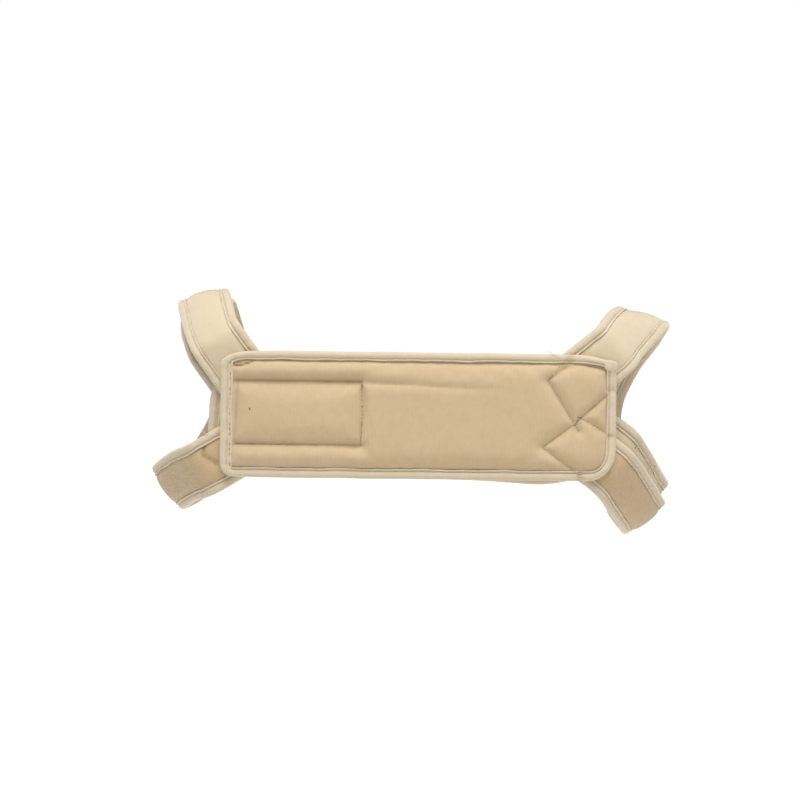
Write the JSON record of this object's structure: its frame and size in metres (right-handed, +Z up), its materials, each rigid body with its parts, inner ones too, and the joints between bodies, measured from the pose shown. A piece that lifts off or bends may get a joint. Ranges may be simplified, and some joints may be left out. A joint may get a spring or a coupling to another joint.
{
  "type": "posture corrector brace",
  "caption": "Padded clavicle brace: two overlapping back panels and a closed padded loop for each shoulder, bound along every edge, in its worn shape.",
  "frame": {"origin": "on the body side of the inner back panel, midway between the shoulder loops: the place on the wearer's spine that the brace is held at", "axes": "+X to the wearer's right, along the panels; +Y the way the wearer faces; +Z up"},
  "size_m": [0.4862, 0.1846, 0.2292],
  "materials": {
    "padded_fabric": "matt ribbed knit over foam, beige",
    "edge_tape": "matt woven folded edge tape, pale beige",
    "hook_tape": "matt nylon hook tape, beige"
  },
  "bodies": {
    "root": {"inner_panel": "padded_fabric", "inner_panel_tape": "edge_tape", "outer_panel": "padded_fabric", "outer_panel_tape": "edge_tape", "panel_hook_patch": "hook_tape", "left_long_strap": "padded_fabric", "left_long_strap_tape": "edge_tape", "left_short_strap": "padded_fabric", "left_short_strap_tape": "edge_tape", "left_strap_hook_patch": "hook_tape", "right_long_strap": "padded_fabric", "right_long_strap_tape": "edge_tape", "right_short_strap": "padded_fabric", "right_short_strap_tape": "edge_tape", "right_strap_hook_patch": "hook_tape"}
  },
  "joints": []
}
